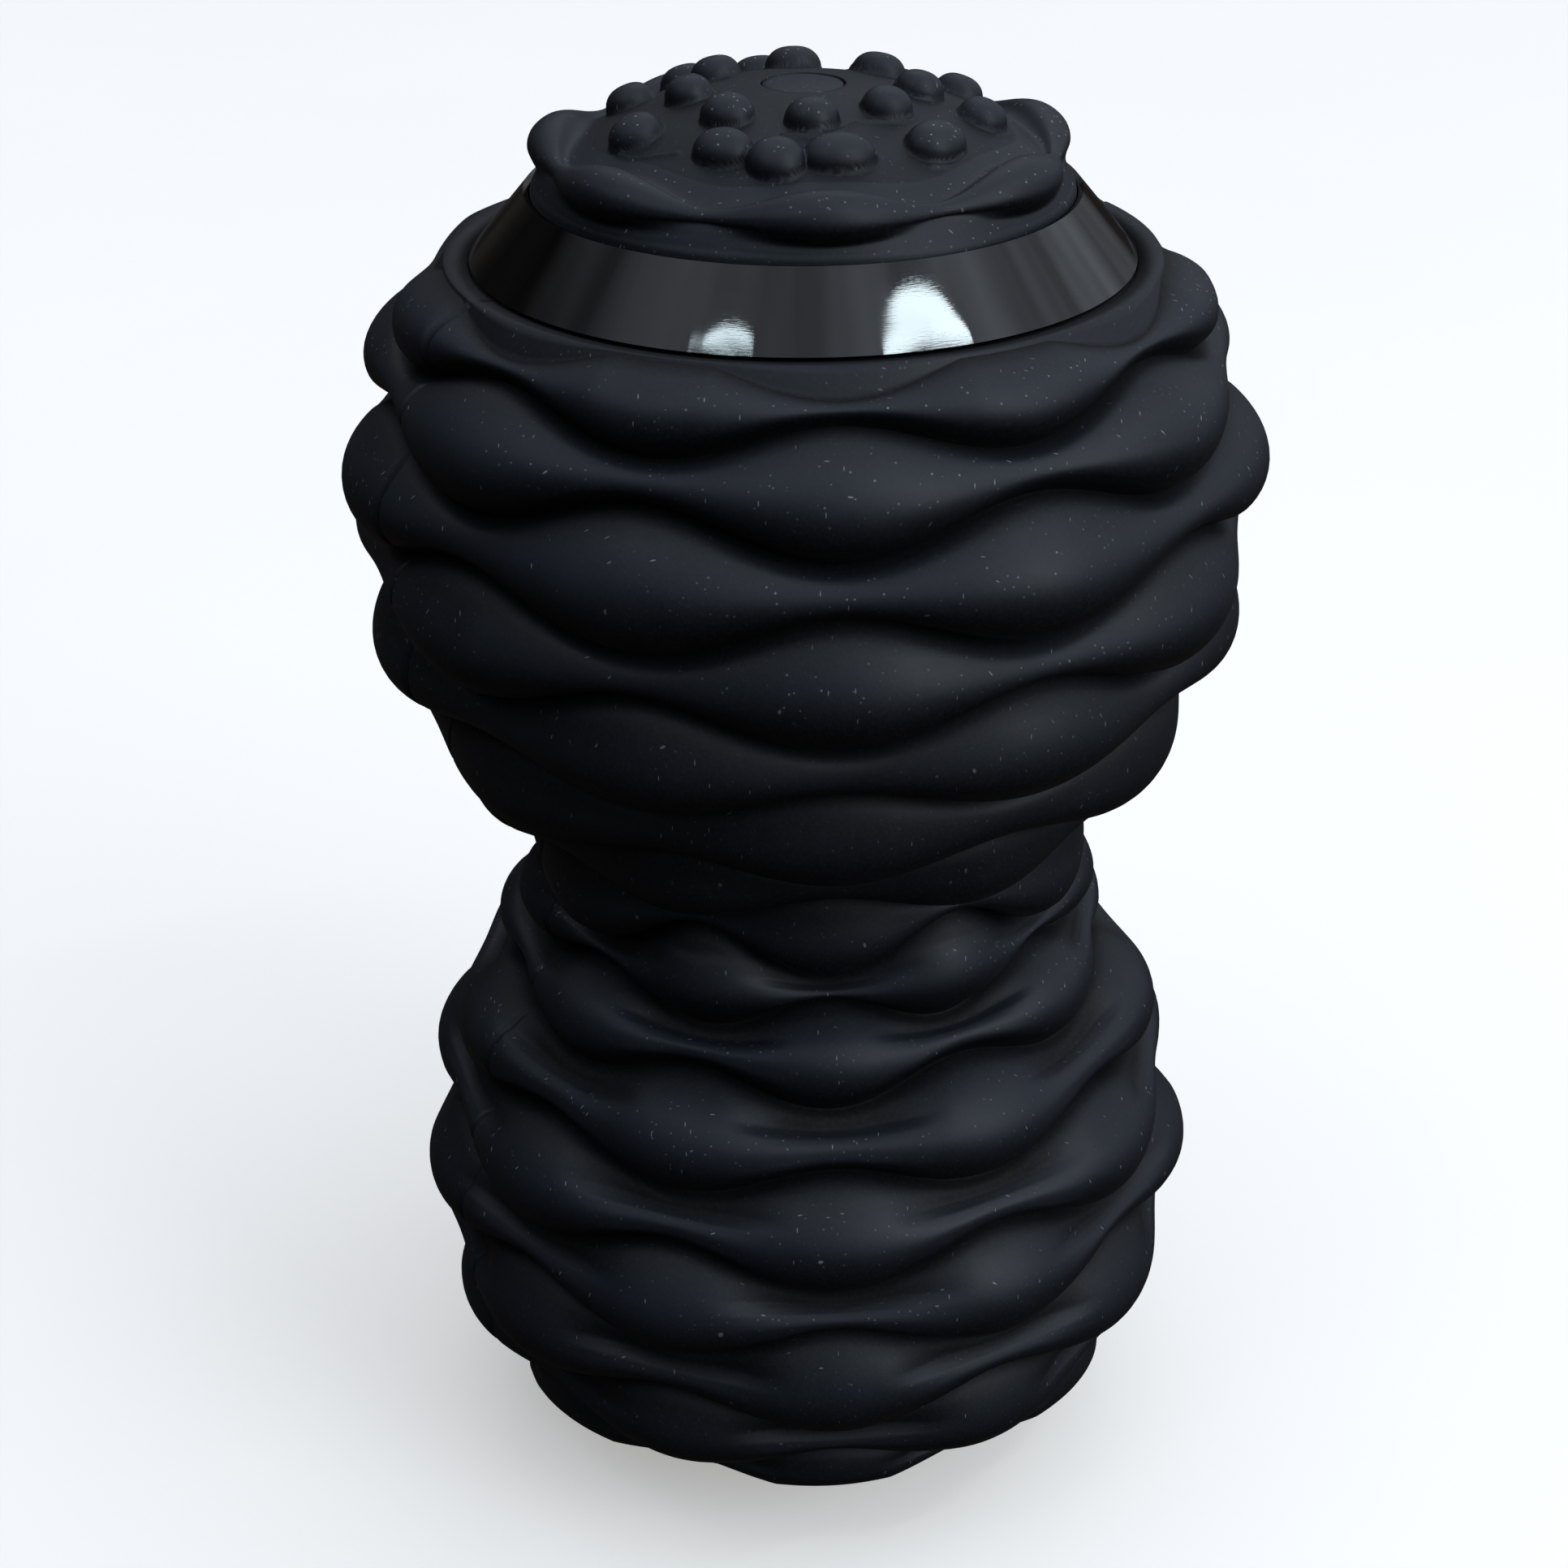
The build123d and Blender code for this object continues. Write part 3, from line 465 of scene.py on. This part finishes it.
def silicone():
    """Matt black rubber: painted shade makes it darker in its creases and where it faces down; its pale film
    where it faces up is painted light and partly dust; dust and lint lie where it faces up.
    """
    n = Nodes("silicone")
    rise = n.add("ShaderNodeAttribute", {"attribute_name": "rise"}).outputs["Fac"]
    normal = n.add("ShaderNodeNewGeometry").outputs["Normal"]
    facing = n.add("ShaderNodeSeparateXYZ", Vector=normal).outputs[2]
    # Mask of skin that faces up and rides high on a ridge: it places the dust and lint, and it paints light
    # where it is high and shade where it is low.
    settled_and_lit = n.math("MULTIPLY", n.ramp(facing, -0.5, 0.6), n.ramp(rise, 0.05, 0.9))
    cloud = n.noise(90, 5)
    # Painted shade and painted light: near black in the creases and undersides, and a paler blue-grey where
    # the mask is high, which is partly a dust film.
    painted_shade_and_film = n.math("MULTIPLY", settled_and_lit, n.ramp(cloud, 0.3, 0.75, 0.65, 1.0))
    skin = n.blend(painted_shade_and_film, colour(0.0018, 0.0019, 0.0025), colour(0.0158, 0.0208, 0.0310))
    grain = n.noise(2600, 3)
    skin = n.blend(n.ramp(grain, 0.45, 0.8, 0.0, 0.25), skin, colour(0.03, 0.033, 0.040))
    dusty = n.ramp(n.noise(38, 3), 0.38, 0.60)
    height = n.add("ShaderNodeSeparateXYZ", Vector=n.place).outputs[2]
    dusty = n.math("MULTIPLY", dusty, n.ramp(height, 0.055, 0.09, 0.45, 1.0))
    dust = n.math("MULTIPLY", specks(n, 1150, 0.16, 0.8), n.math("MULTIPLY", dusty, settled_and_lit))
    fibres = specks(n, 380, 0.12, 0.22, stretch=(1, 5, 1), turn=(0.3, 0.5, 0.9))
    fibres = n.math("ADD", fibres, specks(n, 380, 0.12, 0.22, stretch=(5, 1, 1), turn=(0.8, 0.2, 0.4)))
    lint = n.math("MULTIPLY", n.math("MINIMUM", n.math("ADD", dust, fibres), 1.0), settled_and_lit)
    skin = n.blend(n.math("MULTIPLY", lint, 0.7), skin, colour(0.32, 0.34, 0.36))
    rough = n.math("ADD", n.ramp(cloud, 0.3, 0.7, 0.42, 0.54), n.ramp(rise, 0.0, 0.5, 0.3, 0.0))
    fine = n.bump(grain, 0.00003, 0.35)
    return n.finish(Base_Color=skin, Roughness=rough, Specular_IOR_Level=0.34, Normal=fine)


def gloss_trim():
    """Glossy black plastic with faint smears, scratches and dust."""
    n = Nodes("gloss_trim")
    smear = n.noise(60, 6, stretch=(1, 1, 3))
    scratch = n.noise(900, 2, stretch=(1, 1, 14))
    dust = specks(n, 500, 0.12, 0.03)
    base = n.blend(dust, colour(0.0022, 0.0023, 0.0028), colour(0.15, 0.15, 0.15))
    rough = n.ramp(smear, 0.45, 0.75, 0.02, 0.06)
    wave = n.bump(n.noise(55, 2), 0.00012, 0.5)
    return n.finish(Base_Color=base, Roughness=rough, Specular_IOR_Level=0.6,
                    Normal=n.bump(scratch, 0.000002, 0.25, wave))


def plastic(name, base, light, rough=0.42):
    """Moulded plastic with a fine spark-eroded grain."""
    n = Nodes(name)
    cloud, grain = n.noise(70, 4), n.noise(1800, 3)
    skin = n.blend(n.ramp(cloud, 0.35, 0.7), colour(*base), colour(*light))
    return n.finish(Base_Color=skin, Roughness=n.ramp(grain, 0.3, 0.7, rough - 0.07, rough + 0.09),
                    Normal=n.bump(grain, 0.00004, 0.5))


def metal(name, base, dark, rough=0.3, stretch=(1, 1, 1), pits=0.3):
    """Metal with machining lines and duller patches."""
    n = Nodes(name)
    cloud, lines = n.noise(110, 5), n.noise(700, 3, stretch=stretch)
    skin = n.blend(n.ramp(cloud, 0.4, 0.7), colour(*base), colour(*dark))
    shine = n.ramp(lines, 0.3, 0.7, rough - 0.08, rough + 0.12)
    return n.finish(Base_Color=skin, Metallic=1.0, Roughness=shine, Normal=n.bump(lines, 0.00002, pits))


def circuit_board():
    n = Nodes("circuit_board")
    cells = n.add("ShaderNodeTexVoronoi", {"feature": "DISTANCE_TO_EDGE"}, Vector=n.place,
                  Scale=420)
    tracks = n.ramp(cells.outputs["Distance"], 0.05, 0.09)
    skin = n.blend(tracks, colour(0.006, 0.055, 0.028), colour(0.012, 0.105, 0.05))
    return n.finish(Base_Color=skin, Roughness=n.ramp(n.noise(500), 0.3, 0.7, 0.22, 0.34),
                    Normal=n.bump(tracks, 0.00004, 0.5))


def cell_wrap():
    n = Nodes("cell_wrap")
    crease = n.noise(180, 3, stretch=(1, 1, 0.15))
    # Painted shade: the low parts of the creases, as the bump sets them, are a darker blue.
    skin = n.blend(n.ramp(crease, 0.35, 0.7), colour(0.02, 0.10, 0.30), colour(0.03, 0.16, 0.42))
    return n.finish(Base_Color=skin, Roughness=n.ramp(crease, 0.3, 0.7, 0.22, 0.34),
                    Normal=n.bump(crease, 0.00008, 0.5))


def foam():
    n = Nodes("foam")
    cells = n.add("ShaderNodeTexVoronoi", Vector=n.place, Scale=1500).outputs["Distance"]
    # Painted shade: the pores, the low points of the bump, are coloured darker.
    skin = n.blend(n.ramp(cells, 0.1, 0.6), colour(0.02, 0.02, 0.022), colour(0.075, 0.075, 0.08))
    return n.finish(Base_Color=skin, Roughness=0.93, Normal=n.bump(cells, 0.00025, 0.9))


def winding():
    n = Nodes("copper")
    turns = n.add("ShaderNodeTexWave", {"bands_direction": "Z"}, Vector=n.place, Scale=900.0,
                  Distortion=0.6, Detail=1.0).outputs["Fac"]
    # Painted shade and painted highlight: the gaps between turns, low in the bump, are dark copper, and the
    # tops of the turns are bright.
    skin = n.blend(turns, colour(0.25, 0.07, 0.02), colour(0.86, 0.36, 0.15))
    return n.finish(Base_Color=skin, Metallic=1.0, Roughness=n.ramp(turns, 0, 1, 0.45, 0.22),
                    Normal=n.bump(turns, 0.00008, 0.8))


def lead_insulation():
    n = Nodes("lead_insulation")
    side = n.add("ShaderNodeSeparateXYZ", Vector=n.place).outputs[0]
    pair = n.ramp(side, -0.0001, 0.0001)
    scuff = n.noise(600, 3)
    skin = n.blend(pair, colour(0.012, 0.012, 0.014), colour(0.42, 0.012, 0.010))
    skin = n.blend(n.ramp(scuff, 0.5, 0.8, 0.0, 0.2), skin, colour(0.3, 0.25, 0.24))
    return n.finish(Base_Color=skin, Roughness=n.ramp(scuff, 0.3, 0.7, 0.36, 0.5))


def led_lens():
    n = Nodes("led_lens")
    haze = n.noise(800, 3)
    skin = n.blend(n.ramp(haze, 0.4, 0.7), colour(0.80, 0.82, 0.80), colour(0.62, 0.66, 0.66))
    return n.finish(Base_Color=skin, Roughness=n.ramp(haze, 0.3, 0.7, 0.12, 0.25),
                    Transmission_Weight=0.4, IOR=1.5)


MATERIALS = {
    "silicone": silicone(),
    "gloss_trim": gloss_trim(),
    "white_plastic": plastic("white_plastic", (0.74, 0.74, 0.72), (0.82, 0.82, 0.80)),
    "core_plastic": plastic("core_plastic", (0.014, 0.014, 0.016), (0.024, 0.024, 0.027)),
    "steel": metal("steel", (0.62, 0.62, 0.63), (0.42, 0.42, 0.44), 0.28, (1, 1, 12)),
    "circuit_board": circuit_board(),
    "black_component": plastic("black_component", (0.010, 0.010, 0.011), (0.02, 0.02, 0.021), 0.5),
    "led_lens": led_lens(),
    "cell_wrap": cell_wrap(),
    "nickel": metal("nickel", (0.66, 0.63, 0.57), (0.50, 0.48, 0.44), 0.24, (8, 1, 1)),
    "foam": foam(),
    "zinc_steel": metal("zinc_steel", (0.55, 0.57, 0.60), (0.36, 0.38, 0.42), 0.34, (1, 1, 6)),
    "brass": metal("brass", (0.80, 0.58, 0.24), (0.58, 0.40, 0.15), 0.28, (6, 1, 1)),
    "sintered_bronze": metal("sintered_bronze", (0.52, 0.34, 0.16), (0.32, 0.20, 0.10), 0.5, pits=0.8),
    "magnet": metal("magnet", (0.16, 0.16, 0.17), (0.08, 0.08, 0.085), 0.55, pits=0.7),
    "damper_rubber": plastic("damper_rubber", (0.010, 0.010, 0.010), (0.022, 0.022, 0.022), 0.75),
    "copper": winding(),
    "lead_insulation": lead_insulation(),
}
for part in frame["record"]["subparts"]:
    mesh = frame["nodes"][part["node"]].data
    mesh.materials.clear()
    mesh.materials.append(MATERIALS[part["material_slot"]])


# ---- stage, lights and camera -----------------------------------------------
LIT_Z = 138.0                           # height of the trim ring's middle
ROOM_LEAN = 0.40                        # how much brighter the room gets to the right, per unit of height
ROOM_STOPS = ((0.12, colour(0.030, 0.026, 0.024)), (0.90, colour(0.90, 0.97, 1.10)))
WINDOW_TINT, FAR_TINT, SIDE_TINT = (0.80, 0.95, 1.0), (0.76, 0.94, 1.0), (0.90, 0.95, 1.0)


def floor():
    """A plain pale floor, just under the part."""
    n = Nodes("floor")
    mottle = n.noise(6, 4)
    paint = n.blend(n.ramp(mottle, 0.3, 0.7), colour(0.94, 0.92, 0.88), colour(0.97, 0.95, 0.91))
    n.finish(Base_Color=paint, Roughness=0.8, Emission_Color=colour(1.0, 0.99, 0.97), Emission_Strength=0.36)
    bpy.ops.mesh.primitive_circle_add(vertices=96, radius=6.0, fill_type="NGON")
    ground = bpy.context.object
    ground.name = "floor"
    ground.location.z = -0.05 * MM
    ground.data.materials.append(n.material)
    ground.visible_diffuse = False
    ground.visible_glossy = False


def softbox(name, direction, distance, size, radiance, tint, degrees, shape="RECTANGLE"):
    """An area light of a set brightness, seen from the trim ring in the given direction."""
    light = bpy.data.lights.new(name, "AREA")
    light.shape = shape
    light.size, light.size_y = size
    area = size[0] * size[1] * (math.pi / 4 if shape == "ELLIPSE" else 1)
    light.energy = radiance * math.pi * area
    light.color = tint
    lamp = bpy.data.objects.new(name, light)
    away = Vector(direction).normalized()
    side = Vector((0, 0, 1)).cross(away).normalized()
    facing = Matrix((side, away.cross(side), away)).transposed().to_4x4()
    middle = Vector((0, 0, LIT_Z * MM)) + away * distance
    lamp.matrix_world = Matrix.Translation(middle) @ facing @ Matrix.Rotation(math.radians(degrees), 4, "Z")
    bpy.context.scene.collection.objects.link(lamp)


def sky():
    """A soft room light: dark low on the left, bright overhead and on the right, with large patches."""
    world = bpy.data.worlds.new("studio")
    bpy.context.scene.world = world
    world.use_nodes = True
    tree = world.node_tree
    add, link = tree.nodes.new, tree.links.new
    room = tree.nodes["Background"]
    place = add("ShaderNodeTexCoord").outputs["Generated"]

    split = add("ShaderNodeSeparateXYZ")
    link(place, split.inputs[0])
    height = add("ShaderNodeMath")
    height.operation = "MULTIPLY_ADD"
    height.inputs[1].default_value = ROOM_LEAN
    link(split.outputs["X"], height.inputs[0])
    link(split.outputs["Z"], height.inputs[2])
    ramp = add("ShaderNodeValToRGB")
    for stop, (position, tint) in zip(ramp.color_ramp.elements, ROOM_STOPS):
        stop.position, stop.color = position, tint
    link(height.outputs[0], ramp.inputs[0])
    link(ramp.outputs[0], room.inputs["Color"])

    noise = add("ShaderNodeTexNoise")
    noise.inputs["Scale"].default_value = 3.0
    noise.inputs["Detail"].default_value = 2.0
    link(place, noise.inputs["Vector"])
    patches = add("ShaderNodeMapRange")
    for key, value in (("From Min", 0.38), ("From Max", 0.62), ("To Min", 0.55), ("To Max", 1.3)):
        patches.inputs[key].default_value = value
    link(noise.outputs["Fac"], patches.inputs["Value"])
    link(patches.outputs[0], room.inputs["Strength"])

    backdrop = add("ShaderNodeBackground")
    backdrop.inputs["Color"].default_value = colour(0.85, 0.85, 0.85)
    mix = add("ShaderNodeMixShader")
    link(add("ShaderNodeLightPath").outputs["Is Camera Ray"], mix.inputs[0])
    link(room.outputs[0], mix.inputs[1])
    link(backdrop.outputs[0], mix.inputs[2])
    link(mix.outputs[0], tree.nodes["World Output"].inputs[0])


CAMERA_AT = (0.0, -0.2648, 0.2152)
CAMERA_LENS, CAMERA_SENSOR = 63.96, 36.0
LOOK_DOWN, LOOK_ASIDE, CAMERA_ROLL = 0.483, 0.008, 0.005


def camera():
    """The eye, a little above the part and looking down at its upper lobe."""
    lens = bpy.data.cameras.new("camera")
    lens.lens, lens.sensor_width, lens.clip_start = CAMERA_LENS, CAMERA_SENSOR, 0.01
    eye = bpy.data.objects.new("camera", lens)
    turn = (Matrix.Rotation(LOOK_ASIDE, 4, "Z") @ Matrix.Rotation(math.pi / 2 - LOOK_DOWN, 4, "X")
            @ Matrix.Rotation(-CAMERA_ROLL, 4, "Z"))
    eye.matrix_world = Matrix.Translation(CAMERA_AT) @ turn
    bpy.context.scene.collection.objects.link(eye)
    bpy.context.scene.camera = eye


camera()
silicone_sleeve()
control_pad()
power_button()
moulded("foot_pad_skin", "foot_pad", "housing", 0.30, tread)
moulded("port_cover_skin", "port_cover", "port_flap", 0.16, finger_ribs)
floor()
sky()
softbox("window", (0.504, -0.333, 0.797), 0.7, (0.294, 0.0200), 21.0, WINDOW_TINT, -24.1, "ELLIPSE")
softbox("window_far", (-0.315, -0.445, 0.838), 0.7, (0.156, 0.0088), 18.0, FAR_TINT, 15.5, "ELLIPSE")
softbox("sliver", (-0.375, -0.425, 0.824), 0.7, (0.150, 0.0016), 18.0, FAR_TINT, 15.5)
softbox("side", (0.72, -0.58, 0.38), 1.1, (0.6, 0.8), 2.2, SIDE_TINT, 0.0, "ELLIPSE")
bpy.context.scene.view_settings.view_transform = "Standard"
